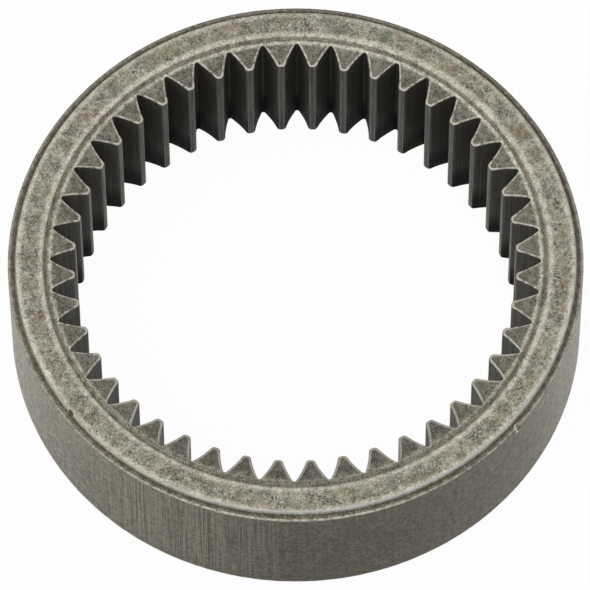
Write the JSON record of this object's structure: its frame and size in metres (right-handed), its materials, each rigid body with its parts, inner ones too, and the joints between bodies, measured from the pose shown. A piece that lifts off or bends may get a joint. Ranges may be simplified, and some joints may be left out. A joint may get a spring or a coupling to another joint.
{
  "type": "internal ring gear",
  "caption": "Flat steel ring with straight involute teeth round its inside and raised rim faces; meshes with the pinions of a planetary drive.",
  "frame": {"origin": "centre of the lower rim face, on the gear's axis", "axes": "+Z along the gear's axis, up out of the upper rim face; +X through the middle of a tooth space"},
  "size_m": [0.0682, 0.0682, 0.0176],
  "materials": {
    "sintered_steel": "sintered steel, matt and grainy on the pressed faces, smoother and scored along the axis on the outer wall"
  },
  "bodies": {
    "root": {"ring_gear": "sintered_steel"}
  },
  "joints": []
}
